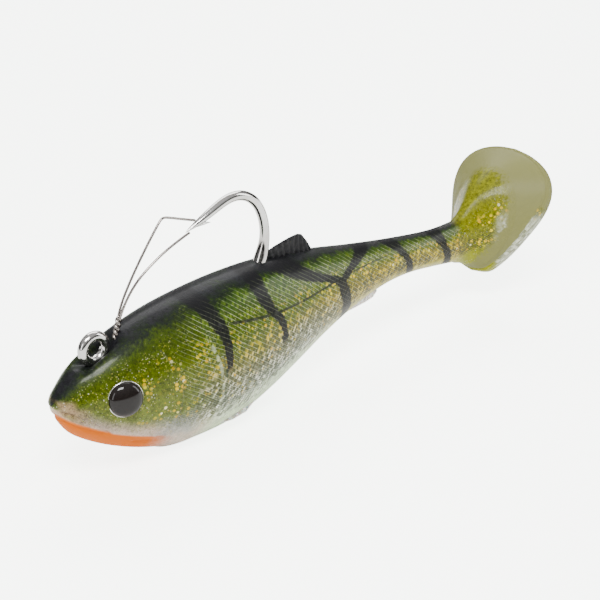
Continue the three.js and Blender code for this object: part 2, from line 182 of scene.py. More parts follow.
def oval(bottom, top, half_width):
    """A ring between two points (x, z) of the middle plane, a little sharper than an ellipse at both."""
    c, s = np.cos(angles), np.sin(angles)
    t = share_of_height(s)
    x = bottom[0] + (top[0] - bottom[0]) * t
    z = bottom[1] + (top[1] - bottom[1]) * t
    return np.stack([x, half_width * c, z], axis=1)


# Rings crowd at the nose and are 0.3 mm apart along the body.
crowded = 0.02 + 6 * np.linspace(0, 1, 30, endpoint=False) ** 1.7
stations = np.concatenate([crowded, np.arange(6, 117.01, 0.3)])
body_rings = [
    oval((x, along(belly_line, x)), (x, along(back_line, x)), along(flank_line, x))
    for x in stations
]
middle_of_nose = body_rings[0].mean(axis=0)
nose_rings = [
    middle_of_nose + (body_rings[0] - middle_of_nose) * n - np.array([BLUNT * (1 - n * n), 0, 0])
    for n in (0.02, 0.3, 0.55, 0.8, 0.95)
]
body_rings = nose_rings + body_rings

PADDLE_HALF_WIDTH = 14.0
PADDLE_HEIGHT = 31.5  # heel to top, along the paddle
PADDLE_MIDDLE = 18.5  # height of the point that the rim shrinks towards
PADDLE_THICK = 3.0
TAIL_STEPS = 6  # rings made for each one of the tail's run
# Behind the wrist: where each ring's bottom and top are, and half its width.
paddle_heel = np.array([124.0, -11.6])
lean = math.radians(28)
paddle_up = np.array([math.sin(lean), math.cos(lean)])
wedge = [
    ((117.9, -7.9), (118, 3.5), 2.95), ((118.9, -8.2), (119.4, 4.3), 3.0), ((120, -8.6), (121, 5.6), 3.3),
    ((121.1, -9.2), (123, 7.4), 4.1), ((122.2, -9.8), (125.3, 9.4), 5.4),
    ((123.1, -10.3), (128.1, 11.3), 7.1), ((123.7, -10.8), (131.3, 13), 9.0),
]
wedge_rings = [oval(*w) for w in wedge]

# The rim of the paddle: shares of its half width and of its height, from the heel up one side.
drop = smooth_line([
    (-1.5708, 0), (-1.35, 0.30), (-1.1, 0.47), (-0.8, 0.66), (-0.5, 0.82), (-0.2, 0.95), (0.08, 1.0),
    (0.38, 0.97), (0.68, 0.84), (0.98, 0.63), (1.28, 0.33), (1.5708, 0),
])
rise = smooth_line([
    (-1.5708, 0), (-1.35, 0.03), (-1.1, 0.105), (-0.8, 0.24), (-0.5, 0.39), (-0.2, 0.54), (0.08, 0.66),
    (0.38, 0.77), (0.68, 0.865), (0.98, 0.935), (1.28, 0.982), (1.5708, 1),
])
tilt = np.arcsin(np.clip(np.sin(angles), -1, 1))
rim_across = PADDLE_HALF_WIDTH * np.interp(tilt, *drop) * np.where(np.cos(angles) >= 0, 1, -1)
rim_height = PADDLE_HEIGHT * np.interp(tilt, *rise)


def rim_ring(share, depth):
    """The rim shrunk towards a point a little above its middle, and set back through the paddle."""
    height = PADDLE_MIDDLE + (rim_height - PADDLE_MIDDLE) * share
    x = paddle_heel[0] + paddle_up[0] * height + math.cos(lean) * depth
    z = paddle_heel[1] + paddle_up[1] * height - math.sin(lean) * depth
    return np.stack([x, rim_across * share, z], axis=1)


throat = wedge_rings[-1]
flare = [throat * (1 - s) + rim_ring(0.97, 0.0) * s for s in (0.25, 0.5, 0.72, 0.88)]
edge_shape = ((0.955, 0.0), (0.985, 0.15), (1, 0.7), (1, 1.9), (0.985, 2.6), (0.955, 2.9))
edge = [rim_ring(*spot) for spot in edge_shape]
rear_face = [rim_ring(s, PADDLE_THICK) for s in (0.85, 0.6, 0.3, 0.004)]


def finer(rings, steps):
    """The same run of rings with rings put between, on a smooth curve through the old ones."""
    p = np.array(rings)
    out = []
    for i in range(1, len(p) - 2):
        for t in np.linspace(0, 1, steps, endpoint=False):
            squared = (2 * p[i - 1] - 5 * p[i] + 4 * p[i + 1] - p[i + 2]) * t**2
            cubed = (3 * p[i] - p[i - 1] - 3 * p[i + 1] + p[i + 2]) * t**3
            out.append(0.5 * (2 * p[i] + (p[i + 1] - p[i - 1]) * t + squared + cubed))
    out.append(p[-2])
    return out


tail_run = [body_rings[-4], body_rings[-1]] + wedge_rings + flare + edge + rear_face
tail_rings = finer(tail_run + [rim_ring(-0.2, PADDLE_THICK)], TAIL_STEPS)
rings = np.array(body_rings + tail_rings[1:])
count_body = len(body_rings)
count_wedge = count_body + TAIL_STEPS * len(wedge) + 2
count_front, count_rear = (int(np.argmax(rings[:, 0, 0] > x)) for x in SHARED_AT)

# The share of the height from belly to back, and how much print there is: it stops where the wedge
# swells, is left on the lower rim of the paddle and never reaches the paddle's back.
share = np.tile(share_of_height(np.sin(angles)), (len(rings), 1))
printed = np.clip((125.5 + 0.42 * rings[..., 2] - rings[..., 0]) / 5 + 0.5, 0, 1)
step = np.arange(len(rings))[:, None]
rim_start, back_start, fade = count_wedge + 13, count_body + 95, 8.0  # counted in rings
low_rim = np.clip((step - rim_start) / fade, 0, 1) * np.clip((0.62 - share) / 0.2, 0, 1)
printed = np.maximum(printed, 0.9 * low_rim)
printed = printed * np.clip((back_start - step) / fade, 0, 1)


def near_line(x, z, points):
    """Distance from each (x, z) to a line through points, and which side of it."""
    best, side = np.full(x.shape, 1e9), np.zeros(x.shape)
    for (ax, az), (bx, bz) in zip(points[:-1], points[1:]):
        dx, dz = bx - ax, bz - az
        t = np.clip(((x - ax) * dx + (z - az) * dz) / (dx * dx + dz * dz), 0, 1)
        gap = np.hypot(x - ax - t * dx, z - az - t * dz)
        closer = gap < best
        best = np.where(closer, gap, best)
        side = np.where(closer, np.sign((x - ax) * dz - (z - az) * dx), side)
    return best, side


# The mouth, the cheek and the gill cover are pressed into the flanks: each groove's depth, its width and
# its points (x, z), in mm.
X, Z = rings[..., 0], rings[..., 2]
relief = np.zeros_like(X)
for depth, width, points in [
    (0.42, 0.32, [(-0.6, -1.3), (1.5, -2.2), (4.3, -4.2), (7.4, -6.9), (8.8, -8.1)]),
    (0.30, 0.28, [(-0.4, -2.9), (2, -4.9), (4.5, -6.4), (7.5, -8.0)]),
    (0.28, 0.4, [(17.5, -10.5), (19.5, -12.2), (22, -13.6), (24.5, -16)]),
    (0.30, 0.35, [(14.5, -12.5), (18, -13.6), (20.8, -13.4), (22.8, -11.6)]),
]:
    gap, _ = near_line(X, Z, points)
    relief -= depth * np.exp(-((gap / width) ** 2))
gill_edge = [
    (29.3, 9.3), (31.3, 6), (32.9, 1.5), (33.6, -3.5), (33.2, -9), (31, -13.5), (27.2, -17.2), (22, -19.6),
]
gap, side = near_line(X, Z, gill_edge)
relief += 0.3 * np.where(side < 0, np.exp(-((gap / 2.6) ** 2)), np.exp(-((gap / 0.45) ** 2)))
gap, side = near_line(X, Z, [(21.5, 5.5), (23.5, 1), (24, -4), (23, -8.5), (20, -11.6)])
relief += 0.22 * np.exp(-((gap / 1.1) ** 2)) * side
relief *= np.clip((X + 0.5) / 1.2, 0, 1) * (X < 60) * np.clip((0.93 - share) / 0.12, 0, 1)
# The lateral line is a shallow groove at a share of the height, taken here in twentieths.
lateral_line = [(36, 16.6), (46.6, 15.1), (54, 14.3), (69, 14.0), (84.5, 15), (92, 15.6)]
gap, _ = near_line(X, share * 20, lateral_line)
relief -= 0.14 * np.exp(-((gap * along(back_line, X) / 8 / 0.22) ** 2)) * (X < 93)
# The forehead is dimpled under the line tie.
relief -= 2.4 * np.exp(-(((X - 10.6) / 4.4) ** 4)) * np.exp(-((rings[..., 1] / 2.3) ** 4)) * (Z > 2)


def ring_normals(p):
    """The direction out of the skin at each point of the rings."""
    forward = np.gradient(p, axis=0)
    around = np.roll(p, -1, axis=1) - np.roll(p, 1, axis=1)
    n = np.cross(around, forward)
    n = n / np.maximum(np.linalg.norm(n, axis=2, keepdims=True), 1e-9)
    return -n if n[200, 0, 1] < 0 else n


rest = rings.copy()
rings = rings + ring_normals(rings) * relief[..., None]
# planed flat underneath, where the lure stands
rings[..., 2] = np.maximum(rings[..., 2], -NOSE[2])
normals = ring_normals(rings)


def ring_mesh(name, first, last, poles=()):
    """The rings from first to last as one mesh, with the normals of the whole casting."""
    part = rings[first:last]
    n, m = part.shape[:2]
    vertices = ((part.reshape(-1, 3) + NOSE) * MM).tolist()
    index = np.arange(n * m).reshape(n, m)
    a, b = index[:-1], np.roll(index, -1, axis=1)[:-1]
    c, d = np.roll(index, -1, axis=1)[1:], index[1:]
    faces = np.stack([a, b, c, d], axis=2).reshape(-1, 4).tolist()
    if "first" in poles:
        faces.append(index[0][::-1].tolist())
    if "last" in poles:
        faces.append(index[-1].tolist())
    mesh = bpy.data.meshes.new(name)
    mesh.from_pydata(vertices, [], faces)
    if mesh.polygons[m * 5].normal.dot(Vector(normals[first + 5, 0])) < 0:
        mesh.flip_normals()
    mesh.polygons.foreach_set("use_smooth", [True] * len(mesh.polygons))
    unbent = mesh.attributes.new("rest_mm", "FLOAT_VECTOR", "POINT")
    unbent.data.foreach_set("vector", rest[first:last].reshape(-1).astype(np.float32))
    for word, values in (("share", share), ("printed", printed)):
        layer = mesh.attributes.new(word, "FLOAT", "POINT")
        layer.data.foreach_set("value", values[first:last].reshape(-1).astype(np.float32))
    mesh.normals_split_custom_set_from_vertices(normals[first:last].reshape(-1, 3).tolist())
    made = bpy.data.objects.new(name, mesh)
    bpy.context.scene.collection.objects.link(made)
    return made


# ---- The printed perch skin ---------------------------------------------------------------------
# A lifelike perch pattern is transferred to the soft plastic over glitter and sealed under a clear
# coat: black back, green shoulder, gold flank and silver belly, black bars, fine diagonal scale lines
# and an orange throat. It is laid out by x, by z and by the share of the height from belly to back.
class Nodes:
    """A node tree that is written down as plain arithmetic."""

    def __init__(self, tree):
        self.tree = tree

    def node(self, kind, values=(), **settings):
        made = self.tree.nodes.new(kind)
        for key, value in settings.items():
            setattr(made, key, value)
        for key, value in dict(values).items():
            self.feed(made.inputs[key], value)
        return made

    def feed(self, socket, value):
        if isinstance(value, bpy.types.NodeSocket):
            self.tree.links.new(value, socket)
        else:
            socket.default_value = value

    def math(self, operation, *values, clamp=False):
        made = self.node("ShaderNodeMath", operation=operation, use_clamp=clamp)
        for i, value in enumerate(values):
            self.feed(made.inputs[i], value)
        return made.outputs[0]

    def chain(self, operation, values):
        out = values[0]
        for value in values[1:]:
            out = self.math(operation, out, value)
        return out

    def plus(self, *values):
        return self.chain("ADD", values)

    def times(self, *values):
        return self.chain("MULTIPLY", values)

    def minus(self, first, second):
        return self.math("SUBTRACT", first, second)

    def over(self, first, second):
        return self.math("DIVIDE", first, second)

    def apart(self, first, second):
        """How far two values are from each other, without a sign."""
        return self.math("ABSOLUTE", self.minus(first, second))

    def more(self, first, second):
        return self.math("MAXIMUM", first, second)

    def attribute(self, name):
        return self.node("ShaderNodeAttribute", attribute_name=name).outputs

    def speckle(self, scale, detail, stops):
        """A ramp of colours over fine noise that is fixed to the piece."""
        at = self.node("ShaderNodeTexCoord").outputs["Object"]
        grains = self.node("ShaderNodeTexNoise", {"Vector": at, "Scale": scale, "Detail": detail})
        return self.ramp(grains.outputs["Fac"], stops)

    def step(self, value, low, high):
        """0 below low, 1 above high and smooth between; the other way round if low is above high."""
        made = self.node("ShaderNodeMapRange", interpolation_type="SMOOTHSTEP")
        ends = (low, high, 0.0, 1.0) if low < high else (high, low, 1.0, 0.0)
        self.feed(made.inputs["Value"], value)
        for key, end in zip(("From Min", "From Max", "To Min", "To Max"), ends):
            made.inputs[key].default_value = end
        return made.outputs[0]

    def curve(self, value, points, span, size):
        """A smooth function of value through points, over span = (low, high), with values in size."""
        scaled = self.math("DIVIDE", self.math("SUBTRACT", value, span[0]), span[1] - span[0], clamp=True)
        made = self.node("ShaderNodeFloatCurve")
        line = made.mapping.curves[0]
        spots = [
            ((x - span[0]) / (span[1] - span[0]), (y - size[0]) / (size[1] - size[0]))
            for x, y in points
        ]
        line.points[0].location, line.points[-1].location = spots[0], spots[-1]
        for spot in spots[1:-1]:
            line.points.new(*spot)
        made.mapping.update()
        self.feed(made.inputs["Value"], scaled)
        return self.math("ADD", self.math("MULTIPLY", made.outputs[0], size[1] - size[0]), size[0])

    def ramp(self, value, stops):
        made = self.node("ShaderNodeValToRGB", {"Fac": value})
        ramp = made.color_ramp
        ramp.interpolation = "LINEAR"
        ramp.elements[0].position, ramp.elements[0].color = stops[0][0], (*stops[0][1], 1)
        ramp.elements[1].position, ramp.elements[1].color = stops[-1][0], (*stops[-1][1], 1)
        for at, colour in stops[1:-1]:
            ramp.elements.new(at).color = (*colour, 1)
        return made.outputs["Color"]

    def mix(self, share_of_second, first, second):
        made = self.node("ShaderNodeMix", data_type="RGBA", clamp_factor=True)
        self.feed(made.inputs["Factor"], share_of_second)
        colours = [s for s in made.inputs if s.type == "RGBA"]
        for socket, value in zip(colours, (first, second)):
            self.feed(socket, (*value, 1) if isinstance(value, tuple) and len(value) == 3 else value)
        return [s for s in made.outputs if s.type == "RGBA"][0]

    def all_of(self, *masks):
        """Where all the masks overlap."""
        return self.times(*masks)


def shader_group(name, outputs):
    """An empty shader group with its output sockets, as (group, Nodes, output node)."""
    group = bpy.data.node_groups.new(name, "ShaderNodeTree")
    for word, kind in outputs:
        group.interface.new_socket(word, in_out="OUTPUT", socket_type=kind)
    return group, Nodes(group), group.nodes.new("NodeGroupOutput")


COLOUR, NUMBER = "NodeSocketColor", "NodeSocketFloat"
perch, p, perch_out = shader_group(
    "perch_print",
    [("Color", COLOUR), ("Roughness", NUMBER), ("Metallic", NUMBER), ("Coat", NUMBER), ("Height", NUMBER)],
)
where = p.attribute("rest_mm")["Vector"]
split = p.node("ShaderNodeSeparateXYZ", {"Vector": where})
x_mm, z_mm = split.outputs["X"], split.outputs["Z"]
tall = p.attribute("share")["Fac"]


def noise(scale, detail=3):
    """Noise fixed to the unbent fish, at a scale per mm."""
    return p.node(
        "ShaderNodeTexNoise", {"Vector": where, "Scale": scale, "Detail": float(detail)}
    ).outputs["Fac"]


wobble = p.times(p.minus(noise(0.25), 0.5), 0.16)
fine_wobble = p.times(p.minus(noise(1.6), 0.5), 0.10)
level = p.plus(tall, wobble, fine_wobble)

head = p.ramp(
    level,
    [
        (0.0, (0.66, 0.60, 0.50)), (0.17, (0.66, 0.56, 0.46)), (0.27, (0.45, 0.42, 0.24)),
        (0.38, (0.25, 0.30, 0.09)), (0.55, (0.175, 0.21, 0.05)), (0.72, (0.115, 0.15, 0.025)),
        (0.90, (0.06, 0.09, 0.014)), (0.955, (0.014, 0.022, 0.011)), (1.0, (0.02, 0.02, 0.023)),
    ],
)
flank = p.ramp(
    level,
    [
        (0.0, (0.74, 0.86, 0.60)), (0.20, (0.74, 0.86, 0.60)), (0.33, (0.62, 0.66, 0.52)),
        (0.46, (0.45, 0.43, 0.26)), (0.57, (0.27, 0.26, 0.07)), (0.67, (0.12, 0.17, 0.02)),
        (0.90, (0.05, 0.105, 0.010)), (0.955, (0.013, 0.022, 0.010)), (1.0, (0.018, 0.019, 0.022)),
    ],
)
tail = p.ramp(
    level,
    [
        (0.0, (0.60, 0.56, 0.34)), (0.20, (0.56, 0.49, 0.14)), (0.38, (0.50, 0.37, 0.005)),
        (0.60, (0.36, 0.29, 0.004)), (0.73, (0.14, 0.20, 0.012)), (0.92, (0.05, 0.10, 0.010)),
        (0.965, (0.03, 0.035, 0.03)), (1.0, (0.045, 0.045, 0.045)),
    ],
)
far = p.plus(x_mm, p.times(fine_wobble, 30.0))
colour = p.mix(p.step(far, 27.0, 36.0), head, flank)
colour = p.mix(p.step(far, 56.0, 84.0), colour, tail)
# the flare before the paddle is yellow green right up to its top
colour = p.mix(p.step(x_mm, 115.0, 120.0), colour, (0.30, 0.31, 0.035))

# Pale cheek under the eye, the grey patch behind it, and the beige side of the snout and lip.
throat_top = p.curve(
    x_mm,
    [(-1, -1.6), (2, -4.0), (5, -5.8), (9, -8.3), (14, -10.6), (19, -12.6), (26, -16)],
    (-1, 26),
    (-20, 0),
)
over_throat = p.minus(z_mm, throat_top)
cheek = p.all_of(p.step(over_throat, 4.2, 0.8), p.step(far, 30.0, 20.0), p.step(x_mm, 1.0, 4.0))
colour = p.mix(p.times(cheek, 0.85), colour, (0.62, 0.50, 0.42))
patch = p.all_of(
    p.step(far, 17.0, 22.0), p.step(far, 31.0, 26.0), p.step(level, 0.12, 0.2), p.step(level, 0.42, 0.3)
)
colour = p.mix(p.times(patch, 0.7), colour, (0.42, 0.44, 0.42))
snout = p.all_of(
    p.step(x_mm, 3.2, 1.6), p.step(x_mm, -0.4, 0.4), p.step(z_mm, 0.9, -0.2), p.step(z_mm, -3.0, -1.6)
)
colour = p.mix(p.times(snout, 0.8), colour, (0.62, 0.45, 0.30))
lip = p.all_of(p.step(x_mm, 6.0, 2.0), p.step(z_mm, -0.6, -1.8))
colour = p.mix(p.times(lip, 0.6), colour, (0.60, 0.42, 0.28))

mottle = p.times(p.plus(p.minus(noise(1.3, 4), 0.5), p.minus(noise(4.5, 2), 0.5)), 0.9)
brightness = p.plus(0.46, mottle, p.times(p.step(level, 0.36, 0.2), 0.35))
stronger = p.node("ShaderNodeHueSaturation", {"Saturation": 1.22, "Value": brightness, "Color": colour})
colour = stronger.outputs["Color"]


# Glitter: large gold flakes over the flank, and drifts of small ones all over but the ridge and throat.
def flakes(size, keep):
    """Scattered round flakes of a size in mm, of which a share is kept: mask and a random number."""
    cells = p.node("ShaderNodeTexVoronoi", {"Vector": where, "Scale": 1 / size, "Randomness": 1.0})
    random = p.node("ShaderNodeSeparateColor", {"Color": cells.outputs["Color"]}).outputs
    round_edge = p.step(cells.outputs["Distance"], 0.50, 0.30)
    return p.all_of(round_edge, p.math("GREATER_THAN", random["Red"], 1 - keep)), random["Green"]


gold, gold_random = flakes(0.95, 0.42)
cluster = p.step(noise(0.22, 2), 0.42, 0.6)
gold_zone = p.all_of(
    p.step(level, 0.26, 0.42), p.step(level, 0.84, 0.66), p.step(x_mm, 7.0, 20.0),
    p.math("ADD", p.times(cluster, 0.8), p.times(p.step(x_mm, 60.0, 80.0), 0.8), clamp=True),
)
gold = p.times(gold, gold_zone)
spark, spark_random = flakes(0.33, 0.55)
spark = p.all_of(
    spark, p.step(level, 0.93, 0.80), p.step(noise(0.35, 2), 0.35, 0.55), p.step(over_throat, -0.3, 1.0)
)
spark_colour = p.ramp(
    spark_random,
    [
        (0.0, (0.03, 0.05, 0.01)), (0.35, (0.16, 0.22, 0.03)), (0.62, (0.42, 0.36, 0.04)),
        (0.85, (0.42, 0.42, 0.22)), (1.0, (0.62, 0.62, 0.48)),
    ],
)
gold_colour = p.ramp(
    gold_random,
    [
        (0.0, (0.66, 0.36, 0.0)), (0.5, (0.80, 0.55, 0.0)), (0.85, (0.75, 0.66, 0.02)),
        (1.0, (0.95, 0.9, 0.60)),
    ],
)
colour = p.mix(p.times(spark, 0.6), colour, spark_colour)
colour = p.mix(gold, colour, gold_colour)

# Scale lines run down and back from the shoulder; a second set crosses them and makes a net of the
# lower flank.
bend = p.times(p.minus(noise(0.10, 1), 0.5), 1.6)


def stripes(slope, pitch, thin):
    """Thin lines across the flank that fall by slope along the body, pitch mm apart."""
    run = p.plus(p.times(x_mm, slope), p.plus(z_mm, bend))
    phase = p.math("PINGPONG", p.over(run, pitch), 0.5)
    return p.step(phase, thin, thin * 0.35)


def rank(slope, pitch):
    """Which stripe of such a set a point lies in, as a whole number."""
    run = p.plus(p.times(x_mm, slope), p.plus(z_mm, bend))
    return p.math("FLOOR", p.over(run, pitch))


hatch = stripes(0.74, 1.0, 0.09)
cross = stripes(-1.3, 1.5, 0.13)
scale_id = p.node("ShaderNodeCombineXYZ", {"X": rank(0.74, 1.0), "Y": rank(-1.3, 0.75)})
scale_dice = p.node(
    "ShaderNodeTexWhiteNoise", {"Vector": scale_id.outputs["Vector"]}, noise_dimensions="3D"
)
scale_tone = scale_dice.outputs["Value"]
dashes = p.step(noise(1.1, 2), 0.38, 0.55)
scaly = p.all_of(
    p.step(p.minus(far, p.times(z_mm, 0.6)), 17.0, 27.0),
    p.step(far, 20.0, 30.0),
    p.step(level, 0.20, 0.34),
    p.step(level, 0.97, 0.86),
)
low_net = p.all_of(scaly, p.step(level, 0.62, 0.46))
on_flank = p.all_of(
    p.step(far, 24.0, 34.0),
    p.step(level, 0.14, 0.26),
    p.step(level, 0.97, 0.86),
    p.step(x_mm, 122.0, 113.0),
)
low_gain = p.plus(0.35, p.times(p.step(level, 0.80, 0.5), 0.65))
dim_scale = p.all_of(on_flank, low_gain, p.step(scale_tone, 0.55, 0.15))
colour = p.mix(p.times(dim_scale, 0.8), colour, (0.045, 0.055, 0.012))
lit_scale = p.all_of(on_flank, low_gain, p.step(scale_tone, 0.72, 0.95))
silver_scale = p.ramp(
    level,
    [
        (0.2, (0.88, 0.92, 0.80)), (0.48, (0.82, 0.80, 0.58)), (0.60, (0.62, 0.45, 0.01)),
        (0.8, (0.20, 0.30, 0.02)),
    ],
)
gold_scale = p.ramp(
    level,
    [
        (0.1, (0.78, 0.74, 0.40)), (0.40, (0.66, 0.50, 0.0)), (0.65, (0.48, 0.38, 0.0)),
        (0.85, (0.20, 0.26, 0.01)),
    ],
)
colour = p.mix(p.times(lit_scale, 0.8), colour, p.mix(p.step(far, 60.0, 85.0), silver_scale, gold_scale))
net_dark = p.times(stripes(0.74, 0.56, 0.22), low_net, p.step(noise(1.9, 2), 0.36, 0.52))
colour = p.mix(p.times(net_dark, 0.9), colour, (0.02, 0.025, 0.015))
colour = p.mix(p.all_of(cross, low_net, dashes, 0.7), colour, (0.03, 0.035, 0.03))

# Black bars: each one's half width at the top and below, the share of the height where it ends, and its
# line as points (share of the height, x).
ragged = p.times(p.minus(noise(0.9, 3), 0.5), 1.8)
bars = None
for top_width, low_width, low_end, points in [
    (2.3, 1.0, 0.55, [(0.5, 35.2), (0.6, 35.8), (0.74, 36.2), (0.87, 35.0), (1, 33)]),
    (2.2, 1.0, 0.5, [(0.4, 52.2), (0.55, 52.8), (0.66, 52.2), (0.80, 49.4), (1, 48.6)]),
    (4.2, 1.7, 0.14, [(0.1, 75.4), (0.3, 75.6), (0.52, 74.2), (0.7, 72.4), (0.82, 65.6), (0.92, 60),
                      (1, 57)]),
    (2.6, 1.6, 0.66, [(0.6, 73), (0.74, 76), (0.86, 80.6), (1, 84)]),
    (2.4, 1.3, 0.12, [(0.1, 99.2), (0.35, 98.4), (0.6, 97), (0.85, 94.8), (1, 93)]),
    (2.4, 1.4, 0.06, [(0.05, 113.4), (0.35, 112.4), (0.65, 110.6), (0.85, 109.6), (1, 108.6)]),
]:
    middle = p.curve(tall, points, (points[0][0], 1), (30, 120))
    gap = p.apart(p.plus(x_mm, ragged), middle)
    half = p.plus(low_width, p.times(p.step(tall, 0.62, 1.0), top_width - low_width))
    bar = p.times(p.step(p.over(gap, half), 1.25, 0.75), p.step(tall, low_end - 0.05, low_end + 0.03))
    bars = bar if bars is None else p.more(bars, bar)
colour = p.mix(p.times(bars, 0.97), colour, (0.005, 0.005, 0.006))
hatch = p.all_of(hatch, scaly, p.plus(0.35, p.times(dashes, 0.65)), p.minus(1.0, p.times(bars, 0.72)))
lit_hatch = p.all_of(hatch, p.step(level, 0.25, 0.5), p.step(x_mm, 120.0, 112.0), 0.42)
colour = p.mix(lit_hatch, colour, (0.56, 0.62, 0.40))

# The lateral line, and the pale edge of the gill cover with a dark line behind it.
lateral_at = p.curve(
    x_mm, [(36, 0.83), (46.6, 0.755), (54, 0.715), (69, 0.70), (84.5, 0.75), (92, 0.78)], (36, 92), (0, 1)
)
lateral = p.all_of(
    p.step(p.apart(tall, lateral_at), 0.013, 0.005), p.step(x_mm, 36.0, 40.0), p.step(x_mm, 92.0, 88.0)
)
colour = p.mix(p.times(lateral, 0.85), colour, (0.01, 0.012, 0.008))
gill_at = p.curve(
    z_mm,
    [
        (-20, 22), (-17.2, 27.2), (-13.5, 31), (-9, 33.2), (-3.5, 33.6), (1.5, 32.9), (6, 31.3),
        (9.3, 29.3),
    ],
    (-20, 9.3),
    (0, 40),
)
gill_gap = p.minus(x_mm, gill_at)
gill_pale = p.all_of(
    p.step(p.math("ABSOLUTE", gill_gap), 0.55, 0.2), p.step(z_mm, 7.0, 3.0), p.step(z_mm, -19.0, -12.0)
)
colour = p.mix(p.all_of(gill_pale, dashes, 0.4), colour, (0.50, 0.56, 0.38))
gill_dark = p.all_of(
    p.step(p.apart(gill_gap, 1.1), 0.6, 0.15), p.step(z_mm, 9.0, 6.0), p.step(z_mm, -15.0, -8.0)
)
colour = p.mix(p.times(gill_dark, 0.35), colour, (0.03, 0.05, 0.02))

# Silver scales are left on the lower rim of the paddle.
rim_band = p.all_of(
    p.step(x_mm, 124.0, 127.0),
    p.step(z_mm, 6.0, 2.0),
    p.step(p.math("ABSOLUTE", split.outputs["Y"]), 5.5, 7.5),
)
rim_scales = p.mix(scale_tone, (0.20, 0.21, 0.12), (0.62, 0.64, 0.50))
colour = p.mix(rim_band, colour, rim_scales)

# The orange throat, with a soft edge behind it.
throat = p.times(p.step(over_throat, 0.35, -0.35), p.step(far, 25.0, 17.0))
colour = p.mix(throat, colour, (0.62, 0.13, 0.0))
# where the print stops, the bare olive plastic shows
bare = p.minus(1.0, p.attribute("printed")["Fac"])
bare = p.step(p.plus(bare, p.times(p.minus(noise(1.2, 2), 0.5), 0.8)), 0.3, 0.7)
colour = p.mix(bare, colour, (0.185, 0.183, 0.062))
spark_gone = p.minus(1.0, bare)

flake = p.times(p.more(gold, spark), spark_gone)
silver = p.times(
    p.all_of(p.step(level, 0.66, 0.45), p.step(far, 24.0, 34.0), p.step(far, 90.0, 70.0)), 0.25
)
ridge = p.step(level, 0.90, 0.96)
p.feed(perch_out.inputs["Color"], colour)
p.feed(
    perch_out.inputs["Metallic"],
    p.all_of(p.more(p.times(flake, 0.3), silver), spark_gone, p.minus(1.0, throat)),
)
dull = p.more(p.more(p.times(ridge, 0.6), throat), p.times(bare, 0.85))
p.feed(perch_out.inputs["Roughness"], p.plus(0.33, p.times(dull, 0.25)))
p.feed(perch_out.inputs["Coat"], p.times(p.minus(0.28, p.times(bars, 0.15)), p.minus(1.0, dull)))
scale_height = p.plus(p.times(hatch, 0.5), p.times(p.all_of(cross, scaly), -0.35))
grain = p.times(noise(3.5, 2), p.plus(0.15, p.times(ridge, 0.9)))
p.feed(perch_out.inputs["Height"], p.plus(scale_height, grain, p.times(flake, 0.5)))


PRINT_SOCKETS = {
    "Color": "Base Color", "Roughness": "Roughness", "Metallic": "Metallic", "Coat": "Coat Weight"
}


def finish(name, **constants):
    """A material whose surface takes these constants, as (material, Nodes, surface)."""
    material = bpy.data.materials.new(name)
    material.use_nodes = True
    tree = Nodes(material.node_tree)
    surface = material.node_tree.nodes["Principled BSDF"]
    for key, value in constants.items():
        socket = surface.inputs[key.replace("_", " ")]
        socket.default_value = (*value, 1) if socket.type == "RGBA" else value
    return material, tree, surface


def wear_print(tree, surface, strength, distance):
    """Lead the perch print into a surface, with its relief as a bump of a strength and a height."""
    worn = tree.node("ShaderNodeGroup", node_tree=perch)
    for output, socket in PRINT_SOCKETS.items():
        tree.feed(surface.inputs[socket], worn.outputs[output])
    bump = tree.node(
        "ShaderNodeBump", {"Height": worn.outputs["Height"], "Strength": strength, "Distance": distance}
    )
    tree.feed(surface.inputs["Normal"], bump.outputs["Normal"])


skin, s, surface = finish(
    "perch_skin",
    Coat_Roughness=0.13,
    Coat_IOR=1.38,
    Specular_IOR_Level=0.1,
    Subsurface_Weight=0.03,
    Subsurface_Scale=0.001,
    Subsurface_Radius=(0.8, 1.0, 0.5),
)
wear_print(s, surface, 0.55, 0.00012)

front_skin = ring_mesh("body_front", 0, count_front + 1, ("first",))
rear_skin = ring_mesh("body_rear", count_front, count_rear + 1)
stalk_skin = ring_mesh("tail_wedge", count_rear, count_wedge + 1)
for piece in (front_skin, rear_skin, stalk_skin):
    piece.data.materials.append(skin)
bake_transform(front_skin)
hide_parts("trunk", "waist")
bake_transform(rear_skin)
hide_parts("rear_body", "wrist")
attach(stalk_skin, "tail")
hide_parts("tail_stalk")


# ---- The paddle ---------------------------------------------------------------------------------
# A drop-shaped disc of plain olive plastic, 28 mm wide and 3 mm thick, that leans back 28 degrees. The
# print fades out where the wedge swells into its face, and silver scales are left on the lower rim.
paddle_skin, s, surface = finish(
    "paddle_plastic",
    Coat_Roughness=0.2,
    Coat_IOR=1.38,
    Specular_IOR_Level=0.16,
    Subsurface_Weight=0.1,
    Subsurface_Scale=0.002,
    Subsurface_Radius=(0.9, 0.9, 0.4),
)
wear_print(s, surface, 0.25, 0.0001)
paddle = ring_mesh("paddle_disc", count_wedge, len(rings), ("last",))
paddle.data.materials.append(paddle_skin)
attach(paddle, "tail")
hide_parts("paddle")


